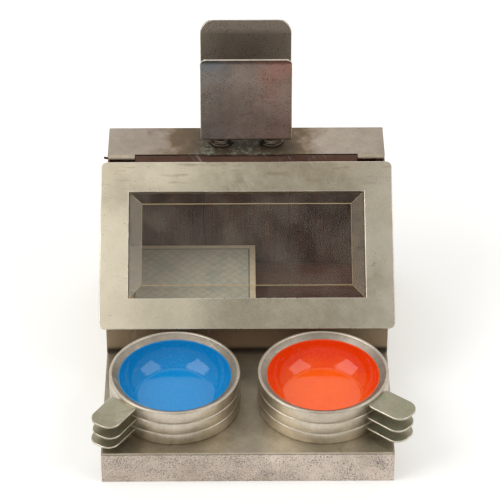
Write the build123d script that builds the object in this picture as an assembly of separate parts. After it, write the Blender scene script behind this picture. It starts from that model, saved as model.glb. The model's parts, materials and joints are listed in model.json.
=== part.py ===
"""Smoker's companion for a desk: a nickel-plated sheet-metal cigarette box with a glazed lid,
two stacks of nesting enamelled ashtrays on its front shelf and a matchbox clip on top.

Millimetres, +Z up, -Y to the front. The origin is the centre of the base, on its underside.
"""
from build123d import *
from math import asin, atan2, cos, degrees, hypot, radians, sin, sqrt, tan
import os

# ---- case ---------------------------------------------------------------------------------------
case_width = 114.0
case_depth = 140.2
case_height = 72.9
sheet = 0.8                     # gauge of every nickel-plated sheet part of the case
shelf_height = 14.5             # top of the shelf that carries the ashtrays
front_wall_rise = 19.9          # front wall above the shelf
shelf_side_inset = 0.5          # the shelf plate stops short of the sides of the base
shelf_seam = 0.15               # dark seam between the shelf plate and the apron
fold_radius = 1.0               # outer radius of the folded edges
baize_thickness = 1.0
baize_inset = 0.6               # baize to the walls round it
board = 2.5                     # wooden lining boards
board_seam = 0.3
back_board_width = 36.6         # middle board of the back lining
front_board_drop = 5.2          # front board below the top of the front wall
side_board_gap = 1.2            # side boards below the lid

# ---- hinge --------------------------------------------------------------------------------------
barrel_radius = 0.9
pin_radius = 0.5
pin_clearance = 0.05            # radial
hinge_from_back = 21.5          # pin axis to the back of the case
knuckle_length = 10.9
knuckle_inset = 0.3             # outer end of a knuckle to the side of the case
knuckle_gap = 0.25              # between a knuckle and the lid's barrel
strip_clearance = 0.3           # lid's barrel to the edge of the top strip
leaf_thickness = 0.5
leaf_length = 8.0
pin_tail = 0.9                  # bent end of the pin outside the left side

# ---- lid ----------------------------------------------------------------------------------------
lid_side_overhang = 2.6         # lid beyond each side of the case
lid_overhang = 6.0              # lid in front of the front wall, measured level
lid_sheet = 0.8
lid_corner_radius = 2.4
lid_rest_gap = 0.1              # lid to the walls that it rests on
lid_top_gap = 2.4               # pin axis to the lid's top edge, along the lid
window_side_border = 11.6
window_top_border = 13.1
window_wall_gap = 4.8           # inside of the front wall to the window, along the lid
glass_centre_thickness = 2.4
glass_edge_thickness = 1.1
glass_bevel = 6.8
glass_lap = 1.5                 # glass under each border
retainer_sheet = 0.5
retainer_lip = 1.6              # retainer under the glass
retainer_flange = 3.0           # retainer soldered to the lid
glass_play = 0.15

# ---- ashtrays -----------------------------------------------------------------------------------
tray_radius = 25.85
tray_pitch = 5.25               # height of one band, so also the step of the stack
tray_front_gap = 5.1            # front of the base to the bands
tray_back_gap = 6.6             # bands to the front wall of the box
tray_gap = 6.75                 # between the two stacks
tray_middle = 0.6               # halfway between the stacks, from the middle of the case
band_wall = 0.75
bead_width = 1.5
bead_height = 1.55
bead_radius = 0.6
rim_drop = 0.7                  # sloping rim below the top of the bead
band_chamfer = 0.25             # shadow line under each band
rim_width = 4.0                 # outside of the band to the enamel's edge
enamel_drop = 1.7               # enamel's edge below the top of the bead
bowl_depth = 9.8                # enamel's edge to its floor
bowl_floor_inset = 6.6          # enamel's edge to the edge of its floor, measured level
bowl_wall_radius = 14.0         # radius of the bowl's curved side
enamel_thickness = 0.4
dish_sheet = 0.6
well_clearance = 0.7            # hole in the shelf round the bottom dish
tongue_sheet = 0.8
tongue_drop = 1.3               # tongue below the top of the bead
tongue_width = 12.3
tongue_reach = {"left": 16.5, "right": 16.2}
tongue_tip_radius = 5.1
tongue_root_radius = 1.5
tongue_root_inset = 0.5         # tongue's straight inner end inside the band's outline
tongue_place = {"left": -138.8, "right": -35.8}      # where each tongue is brazed on, degrees
tongue_skew = {"left": 16.0, "right": -2.5}          # how far it points off the radius
tongue_fan = {"left": (-1.2, 0.4, 0.0), "right": (-2.2, -2.2, -0.4)}     # bottom, middle, top tray

# ---- matchbox clip ------------------------------------------------------------------------------
clip_width = 37.3
clip_sheet = 0.8
clip_slot = 16.7                # room for a matchbox
clip_bottom_height = 6.4        # clip's underside above the top strip
clip_front_height = 39.6
clip_back_height = 41.5         # up to the bend of the lip
clip_lip_length = 4.7
clip_lip_lean = 25.0
clip_flare_length = 2.0
clip_flare_lean = 25.0
clip_bend_radius = 1.3
clip_corner_radius_front = 3.0
clip_corner_radius_back = 5.5
clip_from_back = 20.2           # front of the clip to the back of the case
foot_spacing = 20.8
foot_radii = (5.1, 4.3, 3.6)    # flange, ring, neck
foot_steps = (1.5, 3.3)         # tops of the flange and of the ring
foot_edge = 0.35
screw_radius = 1.5
screw_head_radius = 2.7
screw_head_height = 1.3
screw_clearance = 0.1
thread_clearance = 0.02
screw_slot = 0.6
nut_across_flats = 5.5
nut_height = 2.2
screw_tail = 0.6

# ---- matchbox inside the box --------------------------------------------------------------------
matchbox_length = 53.0
matchbox_width = 36.0
matchbox_height = 17.0
matchbox_card = 0.5
matchbox_clearance = 0.3
matchbox_right = 3.7            # right end of the matchbox from the middle of the case
matchbox_back = 13.6            # behind the matchbox, to the back of the case

# ---- places worked out from the sizes above -----------------------------------------------------
half_width = case_width / 2
front_y = -case_depth / 2
back_y = case_depth / 2
inner_x = half_width - sheet
tray_y = front_y + tray_front_gap + tray_radius
tray_reach = tray_radius + tray_gap / 2
tray_x = {"left": tray_middle - tray_reach, "right": tray_middle + tray_reach}
enamel_radius = tray_radius - rim_width
bowl_floor_radius = enamel_radius - bowl_floor_inset
wall_y = tray_y + tray_radius + tray_back_gap
plate_bottom = baize_thickness
plate_top = plate_bottom + sheet
floor_top = plate_top + board
wall_top = shelf_height + front_wall_rise
strip_bottom = case_height - sheet
axis_y = back_y - hinge_from_back
axis_z = case_height - barrel_radius
strip_front = axis_y + barrel_radius + strip_clearance

run = axis_y - wall_y
drop = axis_z - wall_top - lid_rest_gap
lid_slope = degrees(atan2(drop, run) + asin(barrel_radius / hypot(run, drop)))
lid_reach = run + lid_overhang - barrel_radius * sin(radians(lid_slope))
lid_length = lid_reach / cos(radians(lid_slope)) - lid_top_gap

knuckle_outer = half_width - knuckle_inset
knuckle_inner = knuckle_outer - knuckle_length
barrel_half = knuckle_inner - knuckle_gap
bore_radius = pin_radius + pin_clearance

clip_front = back_y - clip_from_back
clip_depth = clip_slot + 2 * clip_sheet
clip_middle = clip_front + clip_depth / 2
clip_bottom = case_height + clip_bottom_height


def under_lid(y, gap):
    """Height of a line that runs gap below the closed lid's underside, at depth y."""
    slope = radians(lid_slope)
    return axis_z + (barrel_radius - gap) / cos(slope) + (y - axis_y) * tan(slope)


def block(x, y, z):
    """Box between two limits on each axis."""
    centre = [(low + high) / 2 for low, high in (x, y, z)]
    size = [high - low for low, high in (x, y, z)]
    return Pos(*centre) * Box(*size)


def side_profile(points, x, thickness):
    """Flat sheet cut to (y, z) points, from x towards +X."""
    face = make_face(Polyline([(x, y, z) for y, z in points], close=True))
    return extrude(face, amount=thickness, dir=(1, 0, 0))


def tube(outer, inner, x, y, z):
    """Tube along X between two limits."""
    length = x[1] - x[0]
    ring = Cylinder(outer, length) - Cylinder(inner, length + 1)
    return Pos((x[0] + x[1]) / 2, y, z) * Rot(0, 90, 0) * ring


def turned(outline):
    """Solid turned about Z from a closed outline in the XZ plane."""
    return revolve(make_face(outline), Axis.Z)


def in_lid(part):
    """Place a part that was drawn flat, with the hinge axis along X through its origin."""
    return Pos(0, axis_y, axis_z) * Rot(lid_slope, 0, 0) * part


# ---- case parts ---------------------------------------------------------------------------------
def front_apron():
    top = shelf_height - sheet - shelf_seam
    return block((-half_width, half_width), (front_y, front_y + sheet), (0, top))


def side_panel(x):
    """Cheek with a sloping top edge under the lid and a notch that clears the hinge."""
    notch_z = axis_z - barrel_radius - lid_rest_gap
    slope = tan(radians(lid_slope))
    notch_front = axis_y - (under_lid(axis_y, lid_rest_gap) - notch_z) / slope
    low = front_y + sheet
    step = wall_y + sheet
    points = [
        (low, 0), (low, shelf_height - sheet), (step, shelf_height - sheet),
        (step, under_lid(step, lid_rest_gap)), (notch_front, notch_z), (strip_front, notch_z),
        (strip_front, strip_bottom), (back_y - sheet, strip_bottom), (back_y - sheet, 0),
    ]
    return side_profile(points, x, sheet)


def shelf_plate():
    """Shelf folded up into the front wall, with a well under each stack of ashtrays."""
    shelf_half = half_width - shelf_side_inset
    bottom = shelf_height - sheet
    plate = block((-shelf_half, shelf_half), (front_y, wall_y + sheet), (bottom, shelf_height))
    wall = block((-half_width, half_width), (wall_y, wall_y + sheet), (bottom, wall_top))
    part = plate + wall
    for x in tray_x.values():
        part -= Pos(x, tray_y, shelf_height) * Cylinder(well_radius(), 4 * sheet)
    front_edge = part.edges().filter_by(Axis.X).group_by(Axis.Y)[0].sort_by(Axis.Z)[-1]
    return fillet(front_edge, sheet * 0.4)


def back_and_top():
    """Back folded forward into the top strip, with two screw holes for the clip."""
    back = block((-half_width, half_width), (back_y - sheet, back_y), (0, case_height))
    strip = block((-half_width, half_width), (strip_front, back_y), (strip_bottom, case_height))
    part = back + strip
    fold = part.edges().filter_by(Axis.X).group_by(Axis.Z)[-1].sort_by(Axis.Y)[-1]
    part = fillet(fold, fold_radius)
    for x in foot_places():
        part -= Pos(x, clip_middle, case_height) * Cylinder(screw_radius + screw_clearance, 4 * sheet)
    return part


def bottom_plate():
    return block((-inner_x, inner_x), (front_y + sheet, back_y - sheet), (plate_bottom, plate_top))


def baize_pad():
    half = inner_x - baize_inset
    y = (front_y + sheet + baize_inset, back_y - sheet - baize_inset)
    pad = block((-half, half), y, (0, baize_thickness))
    return fillet(pad.edges().filter_by(Axis.Z), 3.0)


# ---- wooden lining ------------------------------------------------------------------------------
def lining_floor():
    return block((-inner_x, inner_x), (wall_y + sheet, back_y - sheet), (plate_top, floor_top))


def lining_front():
    side = inner_x - board
    y = wall_y + sheet
    return block((-side, side), (y, y + board), (floor_top, wall_top - front_board_drop))


def lining_back():
    """Three upright boards with narrow seams between them."""
    side = inner_x - board
    seam = back_board_width / 2
    y = (back_y - sheet - board, back_y - sheet)
    top = axis_z - barrel_radius - side_board_gap
    spans = [(-side, -seam - board_seam), (-seam, seam), (seam + board_seam, side)]
    return Part() + [block(x, y, (floor_top, top)) for x in spans]


def lining_side(x):
    """Board inside a cheek, cut to the slope of the lid."""
    top = axis_z - barrel_radius - side_board_gap
    slope = tan(radians(lid_slope))
    low = wall_y + sheet
    turn = axis_y - (under_lid(axis_y, side_board_gap) - top) / slope
    high = back_y - sheet
    front_top = under_lid(low, side_board_gap)
    points = [(low, floor_top), (low, front_top), (turn, top), (high, top), (high, floor_top)]
    return side_profile(points, x, board)


# ---- hinge --------------------------------------------------------------------------------------
def hinge_knuckle(side):
    """End knuckle with a tail up to the top strip and a leaf soldered under it; side is -1 or 1."""
    x = sorted((side * knuckle_inner, side * knuckle_outer))
    barrel = tube(barrel_radius, bore_radius, x, axis_y, axis_z)
    leaf_x = sorted((side * knuckle_inner, side * (inner_x - board)))
    tail = block(x, (axis_y, strip_front), (case_height - leaf_thickness, case_height))
    leaf = block(leaf_x, (axis_y, strip_front + leaf_length), (strip_bottom - leaf_thickness, strip_bottom))
    hole = Pos(0, axis_y, axis_z) * Rot(0, 90, 0) * Cylinder(bore_radius, 2 * case_width)
    return barrel + (tail + leaf - hole)


def hinge_pin():
    """Wire through all the knuckles, with its left end bent up outside the case."""
    start = Vector(-half_width - 0.4, axis_y, axis_z)
    end = start + Vector(-pin_tail, -0.5 * pin_tail, 0.6 * pin_tail)
    line = FilletPolyline((knuckle_outer, axis_y, axis_z), start, end, radius=pin_radius * 1.6)
    return sweep(Plane(origin=line @ 0, z_dir=line % 0) * Circle(pin_radius), path=line)


def lid_hinge_leaf():
    """Long middle barrel with its leaf, which is soldered under the lid."""
    x = (-barrel_half, barrel_half)
    barrel = tube(barrel_radius, bore_radius, x, 0, 0)
    leaf = block(x, (-leaf_length, 0), (barrel_radius - leaf_thickness, barrel_radius))
    hole = Rot(0, 90, 0) * Cylinder(bore_radius, 2 * case_width)
    return in_lid(barrel + (leaf - hole))


# ---- lid ----------------------------------------------------------------------------------------
lid_y = (-lid_top_gap - lid_length, -lid_top_gap)
lid_z = (barrel_radius, barrel_radius + lid_sheet)
lid_width = case_width + 2 * lid_side_overhang
window_half = lid_width / 2 - window_side_border
window_front_border = (lid_overhang + sheet) / cos(radians(lid_slope)) + window_wall_gap
window_y = (lid_y[0] + window_front_border, lid_y[1] - window_top_border)


def framed(half, y, z, border):
    """Rectangular frame whose inner edge lies border inside its outer one."""
    outer = block((-half, half), y, z)
    cut = (z[0] - 1, z[1] + 1)
    return outer - block((border - half, half - border), (y[0] + border, y[1] - border), cut)


def lid_frame():
    half = lid_width / 2
    plate = block((-half, half), lid_y, lid_z)
    plate = fillet(plate.edges().filter_by(Axis.Z), lid_corner_radius)
    window = block((-window_half, window_half), window_y, (lid_z[0] - 1, lid_z[1] + 1))
    return in_lid(plate - window)


def lid_glass():
    """Pane with a wide bevel whose thin edge is tucked under the lid."""
    rise = glass_centre_thickness - glass_edge_thickness
    edge_top = lid_z[0] - rise * glass_lap / glass_bevel - glass_play
    bottom = edge_top - glass_edge_thickness
    half = window_half + glass_lap
    y = (window_y[0] - glass_lap, window_y[1] + glass_lap)
    middle = (y[0] + y[1]) / 2
    size = (2 * half, y[1] - y[0])
    base = block((-half, half), y, (bottom, edge_top))
    outline = Pos(0, middle, edge_top) * Rectangle(*size)
    crown = Pos(0, middle, edge_top + rise) * Rectangle(*[length - 2 * glass_bevel for length in size])
    return in_lid(base + loft([outline, crown]))


def glass_retainer():
    """Folded frame that holds the pane from below and is soldered to the lid."""
    rise = glass_centre_thickness - glass_edge_thickness
    lip_top = lid_z[0] - rise * glass_lap / glass_bevel - glass_edge_thickness - 2 * glass_play
    lip_bottom = lip_top - retainer_sheet
    reach = glass_lap + glass_play + retainer_sheet
    half = window_half + reach
    y = (window_y[0] - reach, window_y[1] + reach)
    lip = framed(half, y, (lip_bottom, lip_top), retainer_sheet + glass_play + retainer_lip)
    wall = framed(half, y, (lip_bottom, lid_z[0]), retainer_sheet)
    grow = retainer_flange
    flange_y = (y[0] - grow, y[1] + grow)
    flange = framed(half + grow, flange_y, (lid_z[0] - retainer_sheet, lid_z[0]), grow + retainer_sheet)
    return in_lid(lip + wall + flange)


# ---- ashtrays -----------------------------------------------------------------------------------
def bowl_centre():
    """Centre (radius, height) of the arc that joins the enamel's edge to its floor."""
    top = (enamel_radius, tray_pitch - enamel_drop)
    low = (bowl_floor_radius, top[1] - bowl_depth)
    dr, dz = low[0] - top[0], low[1] - top[1]
    chord = hypot(dr, dz)
    reach = sqrt(bowl_wall_radius ** 2 - (chord / 2) ** 2)
    return ((top[0] + low[0]) / 2 + reach * dz / chord, (top[1] + low[1]) / 2 - reach * dr / chord)


def bowl_radius_at(height, offset):
    """Radius of the bowl's side at a height, offset outwards from the enamel's surface."""
    centre_r, centre_z = bowl_centre()
    return centre_r + sqrt((bowl_wall_radius + offset) ** 2 - (height - centre_z) ** 2)


def well_radius():
    return bowl_radius_at(0, enamel_thickness + dish_sheet) + well_clearance


def bowl_side(top, low, offset):
    """Arc of the bowl's side between two heights."""
    middle = (top + low) / 2
    points = [(bowl_radius_at(z, offset), 0, z) for z in (top, middle, low)]
    return ThreePointArc(*points)


def bowl_layer(inner, outer, top):
    """Turned shell between two offsets of the enamel's surface."""
    floor = tray_pitch - enamel_drop - bowl_depth
    inside = bowl_side(top, floor - inner, inner)
    outside = bowl_side(top, floor - outer, outer)
    edges = [
        inside,
        Line(inside @ 1, (0, 0, floor - inner)),
        Line((0, 0, floor - inner), (0, 0, floor - outer)),
        Line((0, 0, floor - outer), outside @ 1),
        outside,
        Line(outside @ 0, inside @ 0),
    ]
    return turned(edges)


def tray_ring():
    """Band of one ashtray with a thick rounded bead along its top."""
    r = tray_radius
    inside = r - band_wall
    bead = r - bead_width
    low = tray_pitch - bead_height
    outline = [(bead, 0, low), (bead, 0, tray_pitch), (r, 0, tray_pitch), (r, 0, 0), (inside, 0, 0),
               (inside, 0, low)]
    ring = turned(Polyline(outline, close=True))
    crest = ring.edges().group_by(Axis.Z)[-1]
    ring = fillet(crest, bead_radius)
    foot = ring.edges().group_by(Axis.Z)[0].sort_by(SortBy.RADIUS)[-1]
    return chamfer(foot, band_chamfer)


def tray_dish():
    """Plated dish: a sloping rim inside the bead, then the bowl under the enamel."""
    edge_z = tray_pitch - enamel_drop
    rim = tray_radius - bead_width
    rim_top = tray_pitch - rim_drop
    low_z = edge_z - dish_sheet
    inner_r = bowl_radius_at(edge_z, enamel_thickness)
    low_r = bowl_radius_at(low_z, enamel_thickness + dish_sheet / 2)
    outline = [(inner_r, 0, edge_z), (rim, 0, rim_top), (rim, 0, rim_top - dish_sheet), (low_r, 0, low_z)]
    bowl = bowl_layer(enamel_thickness, enamel_thickness + dish_sheet, edge_z)
    return bowl + turned(Polyline(outline, close=True))


def tray_enamel():
    edge_z = tray_pitch - enamel_drop
    return bowl_layer(0, enamel_thickness, edge_z)


def tray_tongue(side, level):
    """Flat cigarette rest brazed to the outside of the band."""
    start = -tongue_root_inset
    reach = tongue_reach[side]
    plate = Pos((start + reach) / 2, 0) * Rectangle(reach - start, tongue_width)
    plate = fillet(plate.vertices().group_by(Axis.X)[-1], tongue_tip_radius)
    plate = fillet(plate.vertices().group_by(Axis.X)[0], tongue_root_radius)
    turn = tongue_place[side] + tongue_fan[side][level]
    placed = Rot(0, 0, turn) * Pos(tray_radius, 0) * Rot(0, 0, tongue_skew[side]) * plate
    placed = placed - Circle(tray_radius)
    return Pos(0, 0, tray_pitch - tongue_drop - tongue_sheet) * extrude(placed, amount=tongue_sheet)


def tray_place(side, level):
    return Pos(tray_x[side], tray_y, shelf_height + level * tray_pitch)


# ---- matchbox clip ------------------------------------------------------------------------------
def foot_places():
    return (-foot_spacing / 2, foot_spacing / 2)


def holder_clip():
    """Open-sided U of sheet: flared front, floor with two screw holes, taller back with a lip."""
    half = clip_sheet / 2
    y0 = clip_front + half
    y1 = clip_front + clip_depth - half
    z0 = clip_bottom + half
    front_top = clip_bottom + clip_front_height
    flare = radians(clip_flare_lean)
    lean = radians(clip_lip_lean)
    lip_z = clip_bottom + clip_back_height
    points = [
        (0, y0 - clip_flare_length * sin(flare), front_top),
        (0, y0, front_top - clip_flare_length * cos(flare)),
        (0, y0, z0),
        (0, y1, z0),
        (0, y1, lip_z),
        (0, y1 + clip_lip_length * sin(lean), lip_z + clip_lip_length * cos(lean)),
    ]
    line = FilletPolyline(*points, radius=clip_bend_radius)
    section = Plane(origin=line @ 0, x_dir=(1, 0, 0), z_dir=line % 0) * Rectangle(clip_width, clip_sheet)
    clip = sweep(section, path=line)
    clip = clip & clip_outline()
    for x in foot_places():
        clip -= Pos(x, clip_middle, clip_bottom) * Cylinder(screw_radius + screw_clearance, 4 * clip_sheet)
    return clip


def clip_outline():
    """Two upright slabs, one in front of the other, that round the clip's upper corners."""
    tall = clip_front_height + clip_back_height
    front_top = clip_bottom + clip_front_height
    lean = radians(clip_lip_lean)
    back_top = clip_bottom + clip_back_height + clip_lip_length * cos(lean) + clip_sheet / 2 * sin(lean)

    def slab(top, radius, y):
        body = block((-clip_width / 2, clip_width / 2), y, (top - tall, top))
        return fillet(body.edges().filter_by(Axis.Y).group_by(Axis.Z)[-1], radius)

    front = slab(front_top, clip_corner_radius_front, (clip_front - 10, clip_middle))
    back = slab(back_top, clip_corner_radius_back, (clip_middle, clip_front + clip_depth + 10))
    return front + back


def holder_foot():
    """Turned pillar: wide flange, ring and neck, bored for the screw."""
    flange, ring, neck = foot_radii
    low, mid = foot_steps
    top = clip_bottom_height
    outline = [(0, 0, 0), (flange, 0, 0), (flange, 0, low), (ring, 0, low), (ring, 0, mid), (neck, 0, mid),
               (neck, 0, top), (0, 0, top)]
    foot = turned(Polyline(outline, close=True))
    for height in (low, mid):
        rings = foot.edges().filter_by(GeomType.CIRCLE)
        rim = rings.filter_by_position(Axis.Z, height - 0.01, height + 0.01).sort_by(SortBy.RADIUS)[-1]
        foot = fillet(rim, foot_edge)
    return foot - Cylinder(screw_radius + screw_clearance, 4 * clip_bottom_height)


def holder_screw():
    """Slotted screw from inside the clip, through its floor, the foot and the top strip."""
    head_bottom = clip_bottom + clip_sheet
    head = Pos(0, 0, head_bottom + screw_head_height / 2) * Cylinder(screw_head_radius, screw_head_height)
    head = fillet(head.edges().group_by(Axis.Z)[-1], screw_head_height * 0.45)
    cut = Box(4 * screw_head_radius, screw_slot, screw_head_height)
    head -= Pos(0, 0, head_bottom + screw_head_height) * cut
    low = strip_bottom - nut_height - screw_tail
    shank = Pos(0, 0, (low + head_bottom) / 2) * Cylinder(screw_radius, head_bottom - low)
    return head + shank


def holder_nut():
    across_corners = nut_across_flats / cos(radians(30))
    blank = extrude(RegularPolygon(across_corners / 2, 6), amount=nut_height)
    blank -= Cylinder(screw_radius + thread_clearance, 4 * nut_height)
    return Pos(0, 0, strip_bottom - nut_height) * blank


# ---- matchbox -----------------------------------------------------------------------------------
def matchbox_limits():
    x = (matchbox_right - matchbox_length, matchbox_right)
    y = (back_y - matchbox_back - matchbox_width, back_y - matchbox_back)
    return x, y, (floor_top, floor_top + matchbox_height)


def shrunk(limits, gap):
    return tuple((low + gap, high - gap) for low, high in limits)


def matchbox_sleeve():
    x, y, z = matchbox_limits()
    y_in, z_in = shrunk((y, z), matchbox_card)
    return block(x, y, z) - block((x[0] - 1, x[1] + 1), y_in, z_in)


def matchbox_drawer():
    """Open tray of card that slides out of the sleeve's right end."""
    x, y, z = matchbox_limits()
    y_out, z_out = shrunk((y, z), matchbox_card + matchbox_clearance)
    x_in, y_in = shrunk((x, y_out), matchbox_card)
    return block(x, y_out, z_out) - block(x_in, y_in, (z_out[0] + matchbox_card, z_out[1] + 1))


# ---- build and write ----------------------------------------------------------------------------
nodes = {
    "front_apron": front_apron(),
    "side_panel_left": side_panel(-half_width),
    "side_panel_right": side_panel(inner_x),
    "shelf_and_front_wall": shelf_plate(),
    "back_and_top_strip": back_and_top(),
    "bottom_plate": bottom_plate(),
    "baize_pad": baize_pad(),
    "lining_floor": lining_floor(),
    "lining_front": lining_front(),
    "lining_back": lining_back(),
    "lining_left": lining_side(-inner_x),
    "lining_right": lining_side(inner_x - board),
    "hinge_knuckle_left": hinge_knuckle(-1),
    "hinge_knuckle_right": hinge_knuckle(1),
    "hinge_pin": hinge_pin(),
    "lid_hinge_leaf": lid_hinge_leaf(),
    "lid_frame": lid_frame(),
    "lid_glass": lid_glass(),
    "glass_retainer": glass_retainer(),
    "holder_clip": holder_clip(),
    "matchbox_sleeve": matchbox_sleeve(),
    "matchbox_drawer": matchbox_drawer(),
}

for name, x in zip(("left", "right"), foot_places()):
    nodes[f"holder_foot_{name}"] = Pos(x, clip_middle, case_height) * holder_foot()
    nodes[f"holder_screw_{name}"] = Pos(x, clip_middle, 0) * holder_screw()
    nodes[f"holder_nut_{name}"] = Pos(x, clip_middle, 0) * holder_nut()

for side in ("left", "right"):
    for level, number in enumerate(("1", "2", "3")):
        place = tray_place(side, level)
        tray = f"{side}_tray_{number}"
        nodes[f"{tray}_ring"] = place * tray_ring()
        nodes[f"{tray}_dish"] = place * tray_dish()
        nodes[f"{tray}_enamel"] = place * tray_enamel()
        nodes[f"{tray}_tongue"] = place * tray_tongue(side, level)

os.makedirs("parts", exist_ok=True)
for name, part in nodes.items():
    export_step(part, f"parts/{name}.step")
print(len(nodes), "nodes, lid slope", round(lid_slope, 2), "lid length", round(lid_length, 2))
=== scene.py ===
# %% [markdown]
# # A nickel-plated smoker's companion
# The object is a cigarette box of folded, nickel-plated sheet with a glazed lid. Two stacks of
# nesting enamelled ashtrays stand on its front shelf, and a clip on top holds a matchbox.
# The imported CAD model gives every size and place. This lesson models each piece again with
# its small shapes, such as eased edges, rolled beads and folds, and gives it a worn finish.

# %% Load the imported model
import json
import math

import bmesh
import bpy
from mathutils import Matrix, Vector


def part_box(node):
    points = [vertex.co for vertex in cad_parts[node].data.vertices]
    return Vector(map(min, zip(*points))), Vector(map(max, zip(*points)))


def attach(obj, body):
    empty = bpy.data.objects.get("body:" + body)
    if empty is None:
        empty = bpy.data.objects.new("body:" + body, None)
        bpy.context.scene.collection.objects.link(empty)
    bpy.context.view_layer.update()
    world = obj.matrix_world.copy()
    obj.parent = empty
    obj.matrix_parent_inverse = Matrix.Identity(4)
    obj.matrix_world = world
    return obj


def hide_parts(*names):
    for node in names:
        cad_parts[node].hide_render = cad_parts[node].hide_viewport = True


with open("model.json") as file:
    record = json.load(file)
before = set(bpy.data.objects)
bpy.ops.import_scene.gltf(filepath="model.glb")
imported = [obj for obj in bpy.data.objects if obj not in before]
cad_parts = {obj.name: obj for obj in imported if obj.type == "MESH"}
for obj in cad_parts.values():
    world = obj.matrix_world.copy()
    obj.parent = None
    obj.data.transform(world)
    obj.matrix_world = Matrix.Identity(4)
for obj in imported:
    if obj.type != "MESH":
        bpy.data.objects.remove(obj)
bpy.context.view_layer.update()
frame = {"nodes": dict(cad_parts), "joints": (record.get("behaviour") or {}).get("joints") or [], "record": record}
MM = 0.001
body_of_node = {
    node: body for body, nodes in frame["record"]["behaviour"]["bodies"].items() for node in nodes
}

# %% [markdown]
# ## Working by hand, in code
# An operator acts on whatever is selected, so every step starts by clearing the selection and
# choosing one piece. In edit mode, faces, edges or corners are then picked by where their middle
# lies. That is what a person does with the mouse, and it survives a change of size.

# %% Pick pieces, and parts of a piece
def pick(piece):
    """Make one piece the only selected one."""
    if bpy.context.object and bpy.context.object.mode != "OBJECT":
        bpy.ops.object.mode_set(mode="OBJECT")
    bpy.ops.object.select_all(action="DESELECT")
    piece.select_set(True)
    bpy.context.view_layer.objects.active = piece


def edit(piece):
    pick(piece)
    bpy.ops.object.mode_set(mode="EDIT")
    bpy.ops.mesh.select_mode(type="VERT")
    bpy.ops.mesh.select_all(action="SELECT")


def leave_edit():
    bpy.ops.object.mode_set(mode="OBJECT")


def pick_where(piece, kind, test):
    """In edit mode, select the corners, edges or faces whose middle passes the test."""
    bpy.ops.mesh.select_mode(type=kind)
    bpy.ops.mesh.select_all(action="DESELECT")
    mesh = bmesh.from_edit_mesh(piece.data)
    parts = {"VERT": mesh.verts, "EDGE": mesh.edges, "FACE": mesh.faces}[kind]
    chosen = 0
    for part in parts:
        corners = [part.co] if kind == "VERT" else [corner.co for corner in part.verts]
        if test(sum(corners, Vector()) / len(corners)):
            part.select_set(True)
            chosen += 1
    mesh.select_flush_mode()
    bmesh.update_edit_mesh(piece.data)
    return chosen


def near(value, target, play=0.02 * MM):
    return abs(value - target) < play


# %% [markdown]
# ## Starting shapes and finishing touches
# Most pieces start as a cube or a plane at its real size. A finished piece keeps its place in
# its mesh, so its object sits at the origin. Sheet metal never has a knife edge: a narrow bevel
# catches the light, and weighted normals keep the flat faces flat beside it. Where handling has
# rubbed an edge, the bevel's faces take the piece's second material, which paints it bright as a
# highlight.

# %% Start a piece and finish a piece
def settle(piece):
    """Move the object's place, turn and size into its mesh."""
    pick(piece)
    bpy.ops.object.transform_apply(location=True, rotation=True, scale=True)


def new_piece(name):
    piece = bpy.context.object
    piece.name = piece.data.name = name
    return piece


def block(name, low, high):
    """A cube between two corners."""
    bpy.ops.object.select_all(action="DESELECT")
    low, high = Vector(low), Vector(high)
    bpy.ops.mesh.primitive_cube_add(size=1, location=(low + high) / 2, scale=high - low)
    piece = new_piece(name)
    settle(piece)
    return piece


def modify(piece, kind, **settings):
    """Add one modifier and apply it."""
    pick(piece)
    modifier = piece.modifiers.new(kind.title(), kind)
    for setting, value in settings.items():
        setattr(modifier, setting, value)
    bpy.ops.object.modifier_apply(modifier=modifier.name)


def ease(piece, width, segments=3, angle=32, rubbed=False):
    """Round the sharp edges a little, worn and painted bright as a highlight where rubbed, and shade the piece
    smooth.
    """
    while len(piece.data.materials) < 2:
        piece.data.materials.append(None)
    # Rubbed edges take the second material, a brighter nickel that paints a highlight on them.
    modify(piece, "BEVEL", width=width, segments=segments, limit_method="ANGLE",
           angle_limit=math.radians(angle), use_clamp_overlap=False, material=1 if rubbed else -1)
    pick(piece)
    bpy.ops.object.shade_smooth()
    modify(piece, "WEIGHTED_NORMAL", keep_sharp=True, weight=80)


def eased_copy(node, name, width, segments=3, rubbed=False):
    """A copy of a CAD node with its doubles merged, its flat faces joined and its edges eased."""
    piece = bpy.data.objects.new(name, frame["nodes"][node].data.copy())
    bpy.context.scene.collection.objects.link(piece)
    piece.data.name = name
    piece.data.materials.clear()
    edit(piece)
    bpy.ops.mesh.customdata_custom_splitnormals_clear()
    bpy.ops.mesh.remove_doubles(threshold=0.002 * MM)
    bpy.ops.mesh.dissolve_limited(angle_limit=math.radians(0.3))
    leave_edit()
    ease(piece, width, segments, rubbed=rubbed)
    return piece


def face_finish(piece, number, test):
    """The faces whose middle and normal pass the test take the piece's material of that number."""
    for face in piece.data.polygons:
        if test(face.center, face.normal):
            face.material_index = number


def stand_in(piece, node, finish, others=None):
    """The piece takes the place of a CAD node, moves with its body and gets its finishes."""
    numbers = [face.material_index for face in piece.data.polygons]
    piece.data.materials.clear()
    for other in [finish, *(others or [rubbed_nickel])][:max(numbers) + 1]:
        piece.data.materials.append(other)
    piece.data.polygons.foreach_set("material_index", numbers)
    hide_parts(node)
    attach(piece, body_of_node[node])
    print(f"{piece.name}: {len(piece.data.polygons)} faces for {node}")
    return piece


# %% [markdown]
# ## Colours and nodes
# Colours are written as the hex values that a screen shows, and turned to the linear values that
# a renderer works in. One small function adds a node, so that each finish below reads as a list
# of what is in it. Every pattern reads Object coordinates, in metres, and its scale comes from
# the real size of the grain, pit or stain.

# %% Colour and node helpers
def colour(code):
    """Linear colour of a #RRGGBB value."""
    parts = [int(code[at:at + 2], 16) / 255 for at in (1, 3, 5)]
    linear = [part / 12.92 if part <= 0.04045 else ((part + 0.055) / 1.055) ** 2.4 for part in parts]
    return (*linear, 1.0)


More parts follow.
